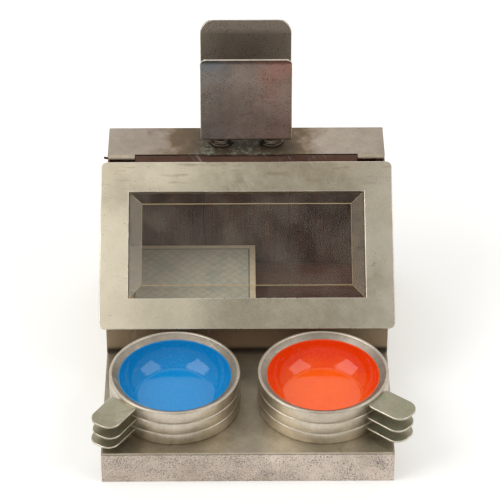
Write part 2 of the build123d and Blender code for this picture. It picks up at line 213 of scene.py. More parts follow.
def plug(tree, node, values):
    """Give sockets their values: a number or colour is set, a socket or a node is linked."""
    for name, value in values.items():
        if isinstance(value, bpy.types.Node):
            value = next(output for output in value.outputs if output.enabled)
        if isinstance(value, bpy.types.NodeSocket):
            tree.links.new(value, node.inputs[name])
        elif value is not None:
            node.inputs[name].default_value = value


def add(tree, kind, *values, **settings):
    """Add a node: first its settings, then a value for each socket in use, in their order."""
    node = tree.nodes.new("ShaderNode" + kind)
    for setting, value in settings.items():
        setattr(node, setting, value)
    in_use = [at for at, socket in enumerate(node.inputs) if socket.enabled]
    plug(tree, node, dict(zip(in_use, values)))
    return node


def new_finish(name):
    """A new material: returns it, its tree, its shader and the Object coordinates."""
    material = bpy.data.materials.new(name)
    material.use_nodes = True
    tree = material.node_tree
    print("finish", name)
    return material, tree, tree.nodes["Principled BSDF"], add(tree, "TexCoord").outputs["Object"]


# %% [markdown]
# ## Worn nickel plate
# The sheet is steel with a thin nickel plate, which has a warm grey shine. Handling dulls it in
# soft patches, damp leaves brown stains and tiny dark pits, and sliding things draw hairline
# scratches. It is a metal with a satin roughness, and each of those marks is a mask that changes
# its colour, its roughness or its height. Dirt isn't metal, so where a tint lays dirt on the
# plate, it takes away some of the metallic shine, and so does painted light where a tint lays it.
# A hairline is where a stretched noise crosses its middle value. Pits are about 0.2 mm wide and
# are drawn about twice as wide, so that they show.

# %% What wears the nickel
PIT = 0.5                   # mm, as drawn
LENGTHWISE = 40             # hairlines are that many times as long as their spacing
FLAT_RUN, UPRIGHT_RUN = (LENGTHWISE, 1, LENGTHWISE), (LENGTHWISE, LENGTHWISE, 1)


def bare_nickel(tree, place, bright, dull):
    """Bright and dull patches with cloudy and fine grain: returns the skin and the fine grain."""
    patches = add(tree, "TexNoise", place, 1 / (26 * MM), 4)
    patches = add(tree, "MapRange", patches, 0.36, 0.64)
    skin = add(tree, "Mix", patches, colour(dull), colour(bright), data_type="RGBA")
    clouds = add(tree, "TexNoise", place, 1 / (4.5 * MM), 6, 0.7)
    clouds = add(tree, "MapRange", clouds, 0.3, 0.7, 0.9, 1.1)
    fine = add(tree, "TexNoise", place, 1 / (1.0 * MM), 4, 0.75)
    fine = add(tree, "MapRange", fine, 0.3, 0.7, 0.9, 1.1)
    shade = add(tree, "Math", clouds, fine, operation="MULTIPLY")
    shade = add(tree, "CombineColor", shade, shade, shade)
    skin = add(tree, "Mix", 1.0, skin, shade, data_type="RGBA", blend_type="MULTIPLY")
    return skin, fine


def pits_mask(tree, place, pits):
    """Small pits, closer together in some places than in others."""
    grit = add(tree, "TexNoise", place, 1 / (PIT * MM), 2, 0.6)
    crowd = add(tree, "TexNoise", place, 1 / (7 * MM), 5, 0.6)
    crowd = add(tree, "MapRange", crowd, 0.35, 0.65, -0.05, 0.05)
    grit_level = add(tree, "Math", grit, crowd, operation="ADD")
    return add(tree, "MapRange", grit_level, 0.76 - 0.2 * pits, 0.81 - 0.2 * pits)


def hairlines_mask(tree, place, strength, upright):
    """Long thin scratches in three directions, broken off in places."""
    lines = None
    for turn, spacing in ((0.55, 5), (-0.9, 8), (2.2, 6)):
        angles, stretch = ((0, turn, 0), UPRIGHT_RUN) if upright else ((0, 0, turn), FLAT_RUN)
        run = add(tree, "Mapping", place, None, angles, stretch, vector_type="TEXTURE")
        drift = add(tree, "TexNoise", run, 1 / (spacing * MM), 1)
        middle = add(tree, "Math", drift, 0.5, operation="SUBTRACT")
        middle = add(tree, "Math", middle, operation="ABSOLUTE")
        line = add(tree, "MapRange", middle, 0.001, 0.006, 1.0, 0.0)
        lines = line if lines is None else add(tree, "Math", lines, line, operation="MAXIMUM")
    broken = add(tree, "TexNoise", place, 1 / (11 * MM), 2)
    broken = add(tree, "MapRange", broken, 0.5, 0.6, 0.0, strength)
    return add(tree, "Math", lines, broken, operation="MULTIPLY")


# %% [markdown]
# The whole finish lays these on one another: bare plate, place tint, stains, pits and scratches.
# Stains, dirt and a tint's painted light make it rougher. Pits sink into the surface, and the
# sheet is wavy by a tenth of a millimetre, as hand-worked sheet is.

# %% The whole finish
def worn_nickel(name, bright, dull, stain, stained=0.5, pits=0.3, satin=0.36, hairlines=0.12,
                tint=None, pit_colour="#3B352C", upright=False, depth=0.5):
    """Nickel-plated sheet: bright and dull patches, stains, dark pits and hairline scratches."""
    material, tree, shader, place = new_finish(name)
    skin, fine = bare_nickel(tree, place, bright, dull)
    dirt_and_painted_light = 0.0
    if tint:
        skin, dirt_and_painted_light = tint(tree, place, skin)
    blots = add(tree, "TexNoise", place, 1 / (9 * MM), 8, 0.62, 2.0, 0.4)
    blots = add(tree, "MapRange", blots, 0.68 - 0.14 * stained, 0.84 - 0.14 * stained, 0.0, 0.7)
    skin = add(tree, "Mix", blots, skin, colour(stain), data_type="RGBA")
    holes = pits_mask(tree, place, pits)
    hole_tone = add(tree, "Math", holes, 0.8, operation="MULTIPLY")
    skin = add(tree, "Mix", hole_tone, skin, colour(pit_colour), data_type="RGBA")
    scratches = hairlines_mask(tree, place, hairlines, upright)
    skin = add(tree, "Mix", scratches, skin, colour("#F4EEE2"), data_type="RGBA")
    gloss = add(tree, "TexNoise", place, 1 / (5 * MM), 6, 0.6)
    gloss = add(tree, "MapRange", gloss, 0.3, 0.7, satin - 0.06, satin + 0.09)
    dull_marks = add(tree, "Math", blots, dirt_and_painted_light, operation="MAXIMUM")
    dull_marks = add(tree, "Math", dull_marks, 0.3, operation="MULTIPLY")
    gloss = add(tree, "Math", gloss, dull_marks, operation="ADD")
    waves = add(tree, "TexNoise", place, 1 / (20 * MM), 2)
    waves = add(tree, "Math", waves, 1.6, operation="MULTIPLY")
    dips = add(tree, "Math", holes, -0.5 * depth, operation="MULTIPLY")
    height = add(tree, "Math", waves, dips, operation="ADD")
    rough = add(tree, "Math", fine, 0.2 * depth, operation="MULTIPLY")
    height = add(tree, "Math", height, rough, operation="ADD")
    bump = add(tree, "Bump", 0.5, 0.12 * MM, None, height)
    shine = add(tree, "MapRange", dirt_and_painted_light, 0.0, 1.0, 1.0, 0.1) if tint else 1.0
    plug(tree, shader, {"Base Color": skin, "Metallic": shine, "Roughness": gloss, "Normal": bump})
    return material


# %% [markdown]
# The plate isn't the same everywhere, and some tints paint light and shade into it. The lid is
# painted bright and yellowish at its left, where the light falls strongest, and olive towards its
# right: painted light. The front wall is brown with dirt, the shelf grows darker and browner
# towards it, and the fold carries dirt and painted shade. The strip round the clip's feet is
# stained where damp has crept under them. The clip carries painted reflections of the ashtrays
# and a back painted paler as light. Each tint below mixes colour in by its place on the object,
# and returns the skin and a mask of its dirt and painted light.

# %% Where the plate has aged, and where light and shade are painted
shelf_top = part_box("shelf_and_front_wall")[0].z + 0.8 * MM
wall_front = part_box("lining_front")[0].y - 0.8 * MM
lid_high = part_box("lid_frame")[1]
strip_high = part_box("back_and_top_strip")[1]
clip_low, clip_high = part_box("holder_clip")


def lid_tint(tree, place, skin):
    """Painted light, bright to the left and olive to the right; brown at the top edge."""
    x, y = add(tree, "SeparateXYZ", place).outputs[:2]
    wander = add(tree, "TexNoise", place, 1 / (20 * MM), 3)
    wander = add(tree, "MapRange", wander, 0.3, 0.7, -12 * MM, 12 * MM)
    side = add(tree, "Math", x, wander, operation="ADD")
    # Painted light: the left of the lid is painted bright, where the light falls strongest.
    left = add(tree, "MapRange", side, -64 * MM, -8 * MM, 1.0, 0.0)
    skin = add(tree, "Mix", left, skin, colour("#DDD3BC"), data_type="RGBA")
    # Painted light: the right of the lid is painted a paler olive, less bright than the left.
    right = add(tree, "MapRange", side, 40 * MM, 58 * MM, 0.0, 0.6)
    skin = add(tree, "Mix", right, skin, colour("#C6BFAF"), data_type="RGBA")
    up = add(tree, "Math", y, wander, operation="ADD")
    top = add(tree, "MapRange", up, lid_high.y - 14 * MM, lid_high.y + 4 * MM, 0.0, 0.25)
    skin = add(tree, "Mix", top, skin, colour("#8F7C62"), data_type="RGBA")
    smears = add(tree, "Mapping", place, None, (0, 0, 0), (6, 1, 1), vector_type="TEXTURE")
    smears = add(tree, "TexNoise", smears, 1 / (2.2 * MM), 5, 0.6)
    smears = add(tree, "MapRange", smears, 0.56, 0.7, 0.0, 0.5)
    edge = add(tree, "MapRange", y, lid_high.y - 15 * MM, lid_high.y - 3 * MM)
    smears = add(tree, "Math", smears, edge, operation="MULTIPLY")
    skin = add(tree, "Mix", smears, skin, colour("#6E5A3E"), data_type="RGBA")
    return skin, smears


def shelf_tint(tree, place, skin):
    """Brown dirt on the front wall, a darker shelf towards it, and dirt with painted shade along the fold."""
    x, y, z = add(tree, "SeparateXYZ", place).outputs
    wander = add(tree, "TexNoise", place, 1 / (9 * MM), 5, 0.65)
    wander = add(tree, "MapRange", wander, 0.3, 0.7, -9 * MM, 9 * MM)
    back = add(tree, "Math", y, wander, operation="ADD")
    back = add(tree, "MapRange", back, wall_front - 26 * MM, wall_front, 0.0, 0.6)
    skin = add(tree, "Mix", back, skin, colour("#7A6C56"), data_type="RGBA")
    up = add(tree, "MapRange", z, shelf_top + 0.5 * MM, shelf_top + 3 * MM, 0.0, 0.85)
    # The wall is a little browner in its middle, between the trays.
    mid_wall = add(tree, "Math", x, operation="ABSOLUTE")
    mid_wall = add(tree, "Math", mid_wall, wander, operation="ADD")
    mid_wall = add(tree, "MapRange", mid_wall, 18 * MM, 52 * MM)
    wall = add(tree, "Mix", mid_wall, colour("#A3866A"), colour("#A28C70"), data_type="RGBA")
    skin = add(tree, "Mix", up, skin, wall, data_type="RGBA")
    # Dirt and painted shade: a dark line along the fold, where the shelf meets the wall.
    fold = add(tree, "Math", y, wall_front, operation="SUBTRACT")
    fold = add(tree, "Math", fold, operation="ABSOLUTE")
    fold = add(tree, "MapRange", fold, 0.0, 2.4 * MM, 0.8, 0.0)
    low = add(tree, "MapRange", z, shelf_top + 1.0 * MM, shelf_top + 2.5 * MM, 1.0, 0.0)
    fold = add(tree, "Math", fold, low, operation="MULTIPLY")
    skin = add(tree, "Mix", fold, skin, colour("#3A3024"), data_type="RGBA")
    dirt_and_painted_light = add(tree, "Math", back, 0.55, operation="MULTIPLY")
    return skin, add(tree, "Math", dirt_and_painted_light, up, operation="MAXIMUM")


def strip_tint(tree, place, skin):
    """Brown stains and a dark crust round the feet of the clip, with pale green salts in it."""
    x, _, z = add(tree, "SeparateXYZ", place).outputs
    wander = add(tree, "TexNoise", place, 1 / (7 * MM), 6, 0.65)
    wander = add(tree, "MapRange", wander, 0.3, 0.7, -6 * MM, 6 * MM)
    away = add(tree, "Math", x, 3 * MM, operation="ADD")
    away = add(tree, "Math", away, operation="ABSOLUTE")
    away = add(tree, "Math", away, wander, operation="ADD")
    top = add(tree, "MapRange", z, strip_high.z - 1.5 * MM, strip_high.z - 0.5 * MM)
    ochre = add(tree, "MapRange", away, 25 * MM, 35 * MM, 0.85, 0.0)
    ochre = add(tree, "Math", ochre, top, operation="MULTIPLY")
    skin = add(tree, "Mix", ochre, skin, colour("#73593A"), data_type="RGBA")
    crust = add(tree, "MapRange", away, 18 * MM, 29 * MM, 0.85, 0.0)
    crust = add(tree, "Math", crust, top, operation="MULTIPLY")
    skin = add(tree, "Mix", crust, skin, colour("#574A38"), data_type="RGBA")
    salts = add(tree, "TexNoise", place, 1 / (2.0 * MM), 6, 0.75)
    salts = add(tree, "MapRange", salts, 0.5, 0.64, 0.0, 0.85)
    close = add(tree, "MapRange", away, 12 * MM, 20 * MM, 1.0, 0.0)
    salts = add(tree, "Math", salts, close, operation="MULTIPLY")
    salts = add(tree, "Math", salts, top, operation="MULTIPLY")
    skin = add(tree, "Mix", salts, skin, colour("#A3AB97"), data_type="RGBA")
    return skin, add(tree, "Math", crust, salts, operation="MAXIMUM")


def clip_tint(tree, place, skin):
    """Painted reflections of the ashtrays, bluish at the upper left and reddish at the right, and a back painted
    paler as light.
    """
    x, y, z = add(tree, "SeparateXYZ", place).outputs
    wander = add(tree, "TexNoise", place, 1 / (9 * MM), 5, 0.6)
    wander = add(tree, "MapRange", wander, 0.3, 0.7, -9 * MM, 9 * MM)
    side = add(tree, "Math", x, wander, operation="ADD")
    up = add(tree, "Math", z, wander, operation="ADD")
    upper = add(tree, "MapRange", up, clip_low.z + 20 * MM, clip_low.z + 34 * MM)
    # Painted reflection: the blue ashtrays in front show on the upper left of the clip.
    blue = add(tree, "MapRange", side, -5 * MM, -15 * MM, 0.0, 0.6)
    blue = add(tree, "Math", blue, upper, operation="MULTIPLY")
    skin = add(tree, "Mix", blue, skin, colour("#717D85"), data_type="RGBA")
    # Painted reflection: the orange ashtrays in front show on the upper right of the clip.
    red = add(tree, "MapRange", side, 3 * MM, 14 * MM, 0.0, 0.6)
    red = add(tree, "Math", red, upper, operation="MULTIPLY")
    skin = add(tree, "Mix", red, skin, colour("#A0756A"), data_type="RGBA")
    # Painted light: the back of the clip, shaded inside the U, is painted paler.
    back = add(tree, "MapRange", y, clip_low.y + 8 * MM, clip_low.y + 12 * MM)
    skin = add(tree, "Mix", back, skin, colour("#84786B"), data_type="RGBA")
    # The painted light on the back also takes away some metallic shine.
    return skin, add(tree, "Math", back, 0.4, operation="MULTIPLY")


def tongue_tint(tree, place, skin):
    """Greenish film with dark spots, heavier on the right-hand tongues."""
    x = add(tree, "SeparateXYZ", place).outputs["X"]
    film = add(tree, "TexNoise", place, 1 / (5 * MM), 6, 0.7)
    film = add(tree, "MapRange", film, 0.4, 0.62, 0.0, 0.7)
    side = add(tree, "MapRange", x, -20 * MM, 20 * MM, 0.35, 1.0)
    film = add(tree, "Math", film, side, operation="MULTIPLY")
    skin = add(tree, "Mix", film, skin, colour("#98997F"), data_type="RGBA")
    return skin, add(tree, "Math", film, 0.5, operation="MULTIPLY")


print("shelf top", round(shelf_top / MM, 2), "mm, wall front", round(wall_front / MM, 2), "mm")

# %% [markdown]
# Now each piece gets its own nickel: the apron is pitted, the clip is tarnished and the rims of
# the ashtrays are rubbed. The three colours of each one are its bright plate, its dull plate and its
# stains. The last finish is for the edges that hands have polished, painted brighter as a highlight.

# %% The nickel finishes
case_plate = worn_nickel("worn_nickel_plate_case", "#BDB19C", "#9C917E", "#5C4E3A", stained=0.35,
                         satin=0.48)
shelf_plate = worn_nickel("dirty_nickel_plate_shelf_painted_fold_shade", "#C4BAA6", "#A89D88", "#5A4E3B", stained=0.4,
                          tint=shelf_tint, satin=0.42)
apron_plate = worn_nickel("pitted_nickel_plate_apron", "#D9CBBF", "#C0B1A4", "#93847A", stained=0.3,
                          pits=1.05, pit_colour="#6C6B6D", satin=0.55, hairlines=0.05, upright=True,
                          depth=0.9)
lid_plate = worn_nickel("satin_nickel_plate_lid", "#ACA490", "#9B9380", "#7C6C50", stained=0.1,
                        pits=0.4, tint=lid_tint, satin=0.4, hairlines=0.09)
strip_plate = worn_nickel("stained_nickel_plate_strip", "#A89C8E", "#978B7F", "#6B5B49", stained=0.3,
                          pits=0.25, tint=strip_tint, hairlines=0.04)
clip_plate = worn_nickel("tarnished_nickel_plate_clip_painted_reflections_and_light", "#93877C", "#766B61", "#4A4038", pits=0.8,
                         pit_colour="#453D36", tint=clip_tint, satin=0.42, upright=True,
                         hairlines=0.05)
turned_plate = worn_nickel("turned_nickel_plate_feet", "#8E8377", "#564C42", "#3E352C", pits=0.4,
                           satin=0.28)
wire_steel = worn_nickel("dull_steel_hinge_wire", "#62493E", "#48352C", "#33211A", stained=0.6,
                         pits=0.4, satin=0.45)
band_plate = worn_nickel("polished_nickel_plate_bands", "#D4CABA", "#B9AE9E", "#8F8370",
                         stained=0.35, pits=0.25, satin=0.4, hairlines=0.1, depth=0.2)
rim_plate = worn_nickel("rubbed_nickel_plate_rims", "#B2A89B", "#8E8578", "#6E6455", stained=0.4,
                        satin=0.5, hairlines=0.2, depth=0.2)
tongue_plate = worn_nickel("dull_nickel_plate_tongues", "#B3AD99", "#9C957F", "#6E6C50",
                           stained=0.35, pits=0.45, satin=0.42, tint=tongue_tint)
# Edges worn by hands, painted brighter still as a highlight.
rubbed_nickel = worn_nickel("rubbed_nickel_edges_painted_highlight", "#F0E8DA", "#C9BFAF", "#8A7D6B",
                            stained=0.3, pits=0.1, satin=0.28, depth=0.1)

# %% [markdown]
# ## Vitreous enamel
# The bowls are coated with coloured glass, melted on to the metal. It is glossy and a little
# uneven, like the skin of an orange. The steep wall is painted a deeper tone than the floor that
# faces up, a painted shade, so the surface normal's height picks the tone. Use leaves small grey
# scuffs and a few chips that show the dark ground coat.

# %% Enamel
def enamel(name, lit_floor_tone, shaded_wall_tone, chip_size):
    """Gloss enamel with painted shade on its steep wall, uneven depth, scuffs and a few chips, of a size given in
    mm.
    """
    material, tree, shader, place = new_finish(name)
    # Painted shade: faces that point up take the lit floor tone, steep faces the deeper, shaded wall tone.
    facing = add(tree, "TexCoord").outputs["Normal"]
    up_facing_light = add(tree, "SeparateXYZ", facing).outputs["Z"]
    depth = add(tree, "TexNoise", place, 1 / (7 * MM), 5, 0.6)
    depth = add(tree, "MapRange", depth, 0.3, 0.7, -0.12, 0.12)
    up_facing_light = add(tree, "Math", up_facing_light, depth, operation="ADD")
    up_facing_light = add(tree, "MapRange", up_facing_light, 0.55, 1.0)
    skin = add(tree, "Mix", up_facing_light, colour(shaded_wall_tone), colour(lit_floor_tone), data_type="RGBA")
    grains = add(tree, "TexNoise", place, 1 / (0.7 * MM), 3, 0.6)
    grains = add(tree, "MapRange", grains, 0.55, 0.75, 0.0, 0.06)
    skin = add(tree, "Mix", grains, skin, colour("#FFFFFF"), data_type="RGBA")
    scuffs = add(tree, "Mapping", place, None, (0, 0, 0.9), (12, 1, 1), vector_type="TEXTURE")
    scuffs = add(tree, "TexNoise", scuffs, 1 / (1.2 * MM), 4, 0.6)
    scuffs = add(tree, "MapRange", scuffs, 0.68, 0.78, 0.0, 0.3)
    skin = add(tree, "Mix", scuffs, skin, colour("#A9A49A"), data_type="RGBA")
    chips = add(tree, "TexNoise", place, 1 / (chip_size * MM), 3, 0.7)
    chips = add(tree, "MapRange", chips, 0.745, 0.76, 0.0, 0.8)
    skin = add(tree, "Mix", chips, skin, colour("#3B3A38"), data_type="RGBA")
    gloss = add(tree, "MapRange", scuffs, 0.0, 0.3, 0.08, 0.3)
    waves = add(tree, "TexNoise", place, 1 / (3.0 * MM), 2)
    waves = add(tree, "Math", waves, 0.5, operation="MULTIPLY")
    height = add(tree, "Math", waves, chips, operation="SUBTRACT")
    bump = add(tree, "Bump", 0.35, 0.1 * MM, None, height)
    plug(tree, shader, {"Base Color": skin, "Roughness": gloss, "Normal": bump,
                        "Specular IOR Level": 0.35, "Coat Weight": 0.1, "Coat Roughness": 0.05})
    return material


blue_enamel = enamel("blue_vitreous_enamel", "#068CCE", "#0A86C6", chip_size=3.1)
orange_enamel = enamel("orange_vitreous_enamel", "#F9620A", "#EC4001", chip_size=2.7)

# %% [markdown]
# ## Plate glass
# The pane is clear plate glass with a ground and polished bevel. Glass bends the light, so the
# shader transmits it with an IOR of 1.5. A thin film of dust lies on it in cloudy patches: where
# the dust is, a little less light goes through and a little is scattered.

# %% Glass
GLASS_IOR = 1.5


def plate_glass(name):
    """Clear glass under a thin film of dust."""
    material, tree, shader, place = new_finish(name)
    specks = add(tree, "TexNoise", place, 1 / (0.7 * MM), 4, 0.75)
    specks = add(tree, "MapRange", specks, 0.5, 0.72, 0.0, 0.05)
    film = add(tree, "TexNoise", place, 1 / (16 * MM), 5, 0.65)
    film = add(tree, "MapRange", film, 0.4, 0.66, 0.0, 0.035)
    dust = add(tree, "Math", specks, film, operation="ADD")
    clear = add(tree, "Math", 1.0, dust, operation="SUBTRACT")
    tone = add(tree, "Mix", dust, colour("#F8EEDC"), colour("#B9AFA0"), data_type="RGBA")
    plug(tree, shader, {"Base Color": tone, "Transmission Weight": clear, "Roughness": 0.02,
                        "IOR": GLASS_IOR, "Specular Tint": colour("#808080")})
    return material


def gold_light_glass(name, tone, clear, roughness):
    """Glass tinted to paint the gold light that the bevel bends and catches, under a cloudy film of grease."""
    material, tree, shader, place = new_finish(name)
    film = add(tree, "TexNoise", place, 1 / (3 * MM), 5, 0.7)
    film = add(tree, "MapRange", film, 0.35, 0.65, clear - 0.12, clear + 0.05)
    skin = add(tree, "Mix", film, colour(tone), colour("#C8BBA2"), data_type="RGBA")
    plug(tree, shader, {"Base Color": skin, "Transmission Weight": film, "Roughness": roughness,
                        "IOR": GLASS_IOR})
    return material


window_glass = plate_glass("dusty_bevelled_plate_glass")
# Gold painted into the bevel: a painted refraction of light on its left and right faces, and a painted glint on
# its ridges.
bevel_glass = gold_light_glass("bevel_glass_painted_gold_refraction", "#8C6A42", clear=0.8, roughness=0.14)
bevel_edge = gold_light_glass("bevel_edge_painted_gold_glint", "#C2A05C", clear=0.35, roughness=0.2)

# %% [markdown]
# ## Cedar, baize and card
# Cigarette boxes are lined with thin cedar boards, which keep their red-brown grain under a
# dark stain. The grain runs along each board, so its noise is stretched along that axis. Baize is
# felted wool: dark green, dull, with a nap of short fibres. The matchbox is thin grey card with a
# printed paper label.

# %% Cedar
def cedar(name, grain, light="#96502F", dark="#63301D", dusty=0.35):
    """Stained cedar, with its grain as stretches along the three axes."""
    material, tree, shader, place = new_finish(name)
    along = add(tree, "Mapping", place, None, (0, 0, 0), grain, vector_type="TEXTURE")
    rings = add(tree, "TexNoise", along, 1 / (5 * MM), 4, 0.6, 2.0, 0.6)
    rings = add(tree, "MapRange", rings, 0.3, 0.7)
    fibre = add(tree, "TexNoise", along, 1 / (0.7 * MM), 3, 0.7)
    fibre = add(tree, "MapRange", fibre, 0.35, 0.65)
    wood = add(tree, "Mix", rings, colour(dark), colour(light), data_type="RGBA")
    pores = add(tree, "Math", fibre, 0.35, operation="MULTIPLY")
    wood = add(tree, "Mix", pores, wood, colour("#2E150E"), data_type="RGBA")
    dust = add(tree, "TexNoise", place, 1 / (3 * MM), 7, 0.7)
    dust = add(tree, "MapRange", dust, 0.5, 0.75, 0.0, dusty)
    wood = add(tree, "Mix", dust, wood, colour("#86705C"), data_type="RGBA")
    gloss = add(tree, "MapRange", rings, 0.0, 1.0, 0.5, 0.7)
    bump = add(tree, "Bump", 0.4, 0.1 * MM, None, fibre)
    plug(tree, shader, {"Base Color": wood, "Roughness": gloss, "Normal": bump})
    return material


GRAIN = 16                  # grain is that many times as long as wide
cedar_floor = cedar("stained_cedar_floor", (GRAIN, 1, 1), "#8A4128", "#642C1B", dusty=0.25)
cedar_front = cedar("stained_cedar_front", (GRAIN, 1, 1))
cedar_upright = cedar("stained_cedar_upright", (1, 1, GRAIN), "#74412B", "#4E2819", dusty=0.45)
cedar_side = cedar("stained_cedar_side", (1, GRAIN, 1))

# %% Baize
def baize(name):
    """Green felt with a short nap, worn in patches."""
    material, tree, shader, place = new_finish(name)
    nap = add(tree, "TexNoise", place, 1 / (0.5 * MM), 5, 0.75)
    nap = add(tree, "MapRange", nap, 0.3, 0.7)
    worn = add(tree, "TexNoise", place, 1 / (12 * MM), 5, 0.6)
    worn = add(tree, "MapRange", worn, 0.45, 0.7, 0.0, 0.5)
    cloth = add(tree, "Mix", nap, colour("#1C3B27"), colour("#3C6B4A"), data_type="RGBA")
    cloth = add(tree, "Mix", worn, cloth, colour("#6B7060"), data_type="RGBA")
    bump = add(tree, "Bump", 0.8, 0.25 * MM, None, nap)
    plug(tree, shader, {"Base Color": cloth, "Roughness": 0.95, "Normal": bump, "Sheen Weight": 0.4})
    return material


green_baize = baize("green_wool_baize")

# %% [markdown]
# ## The matchbox label
# A label in nodes is built from distances. The distance to the nearest edge gives the white margin
# and the border, and sums of two distances give slanting lines. The design is a plain net of
# crossing lines, with no picture and no lettering.

# %% Card
LATTICE_STEP = 2.2 * MM
match_low, match_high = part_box("matchbox_sleeve")


def plain_card(name):
    """Unprinted card with short fibres."""
    material, tree, shader, place = new_finish(name)
    fibres = add(tree, "TexNoise", place, 1 / (0.8 * MM), 5, 0.7)
    tone = add(tree, "MapRange", fibres, 0.3, 0.7)
    skin = add(tree, "Mix", tone, colour("#AD9C7C"), colour("#CDBE9F"), data_type="RGBA")
    bump = add(tree, "Bump", 0.3, 0.05 * MM, None, fibres)
    plug(tree, shader, {"Base Color": skin, "Roughness": 0.6, "Normal": bump})
    return material


def lattice(tree, place, right, front):
    """Pale grey paper with a faint net of crossing lines."""
    washes = add(tree, "TexNoise", place, 1 / (6 * MM), 4, 0.6)
    washes = add(tree, "MapRange", washes, 0.4, 0.6)
    field = add(tree, "Mix", washes, colour("#C4C8C6"), colour("#AEB8BA"), data_type="RGBA")
    for sense in ("ADD", "SUBTRACT"):
        run = add(tree, "Math", right, front, operation=sense)
        run = add(tree, "Math", run, LATTICE_STEP, operation="PINGPONG")
        line = add(tree, "MapRange", run, 0.15 * MM, 0.3 * MM, 0.6, 0.0)
        field = add(tree, "Mix", line, field, colour("#8B979B"), data_type="RGBA")
    return field


# %% [markdown]
# The card comes last. Its border is two steps of the distance from the edge, from the outside in.
# Only the top is printed. The long sides carry the brown striking strip, and the ends stay plain.

# %% Printed card
BORDERS = ((2.3, "#6E7A80"), (2.9, None))
BORDER_BLUR = 0.15


def label_card(name):
    """White card whose top is printed, and whose long sides carry the striking strip."""
    material, tree, shader, place = new_finish(name)
    x, y, z = add(tree, "SeparateXYZ", place).outputs
    left = add(tree, "Math", x, match_low.x, operation="SUBTRACT")
    right = add(tree, "Math", match_high.x, x, operation="SUBTRACT")
    front = add(tree, "Math", y, match_low.y, operation="SUBTRACT")
    back = add(tree, "Math", match_high.y, y, operation="SUBTRACT")
    ends = add(tree, "Math", left, right, operation="MINIMUM")
    sides = add(tree, "Math", front, back, operation="MINIMUM")
    edge = add(tree, "Math", ends, sides, operation="MINIMUM")
    fibres = add(tree, "TexNoise", place, 1 / (0.9 * MM), 5, 0.7)
    tone = add(tree, "MapRange", fibres, 0.3, 0.7)
    white = add(tree, "Mix", tone, colour("#C9C2B1"), colour("#E2DDCF"), data_type="RGBA")
    field = lattice(tree, place, right, front)
    skin = white
    for inset, ink in BORDERS:
        step = add(tree, "MapRange", edge, inset * MM, (inset + BORDER_BLUR) * MM)
        skin = add(tree, "Mix", step, skin, colour(ink) if ink else field, data_type="RGBA")
    top = add(tree, "MapRange", z, match_high.z - 0.6 * MM, match_high.z - 0.3 * MM)
    skin = add(tree, "Mix", top, white, skin, data_type="RGBA")
    middle = add(tree, "Math", z, (match_low.z + match_high.z) / 2, operation="SUBTRACT")
    middle = add(tree, "Math", middle, operation="ABSOLUTE")
    striker = add(tree, "MapRange", middle, 5.4 * MM, 5.6 * MM, 1.0, 0.0)
    outside = add(tree, "MapRange", sides, 0.1 * MM, 0.2 * MM, 1.0, 0.0)
    striker = add(tree, "Math", striker, outside, operation="MULTIPLY")
    skin = add(tree, "Mix", striker, skin, colour("#5A3527"), data_type="RGBA")
    soil = add(tree, "TexNoise", place, 1 / (7 * MM), 6, 0.7)
    soil = add(tree, "MapRange", soil, 0.5, 0.75, 0.0, 0.4)
    skin = add(tree, "Mix", soil, skin, colour("#B9AE98"), data_type="RGBA")
    bump = add(tree, "Bump", 0.3, 0.05 * MM, None, fibres)
    plug(tree, shader, {"Base Color": skin, "Roughness": 0.6, "Normal": bump})
    return material


printed_card = label_card("printed_matchbox_card")
drawer_card = plain_card("plain_grey_card")

# %% [markdown]
# ## The case
# The case is six sheets, soldered together: an apron under the shelf, two cheeks, the shelf that
# folds up into the front wall, the back that folds forward into the top strip, and a bottom.
# Their outlines are exact in the CAD model, so each is a copy of its node with its triangles
# joined to whole faces and its edges eased to a radius that folded sheet has. The inner corner
# of a fold gets the same radius, because a bevel also fills a hollow corner.

# %% Sheets of the case
SHEET_EDGE = 0.22 * MM

for node, finish, slot in (
    ("front_apron", apron_plate, "apron_nickel"),
    ("side_panel_left", case_plate, "case_nickel"),
    ("side_panel_right", case_plate, "case_nickel"),
    ("shelf_and_front_wall", shelf_plate, "case_nickel"),
    ("back_and_top_strip", strip_plate, "case_nickel"),
    ("bottom_plate", case_plate, "case_nickel"),
):
    stand_in(eased_copy(node, node + "_sheet", SHEET_EDGE), node, finish)

# %% [markdown]
# ## Lining and baize
# The boards stand on the floor board inside the box. A sawn board has slightly rounded edges, and
# the pad under the base is soft felt, so its edge is rounder.

# %% Boards and pad
for node, finish in (
    ("lining_floor", cedar_floor),
    ("lining_front", cedar_front),
    ("lining_back", cedar_upright),
    ("lining_left", cedar_side),
    ("lining_right", cedar_side),
):
    stand_in(eased_copy(node, node + "_board", 0.2 * MM), node, finish)

stand_in(eased_copy("baize_pad", "baize_pad_felt", 0.35 * MM, 4), "baize_pad", green_baize)

# %% [markdown]
# ## The hinge
# Two end knuckles are soldered under the strip, the long middle barrel is soldered under the lid,
# and one wire runs through all three, with its end bent so that it stays in.

# %% Hinge pieces
for node, finish in (("hinge_knuckle_left", case_plate), ("hinge_knuckle_right", case_plate),
                     ("lid_hinge_leaf", wire_steel)):
    stand_in(eased_copy(node, node + "_barrel", 0.08 * MM, 2), node, finish)
stand_in(eased_copy("hinge_pin", "hinge_pin_wire", 0.12 * MM, 3), "hinge_pin", wire_steel)

# %% [markdown]
# ## The lid
# The lid is drawn flat and then tilted. Its slope is read from the pane: the pane's largest
# face lies in the plane of the lid, so that face's normal gives the angle. The flat places
# come from turning a CAD node back by that angle about the hinge axis.

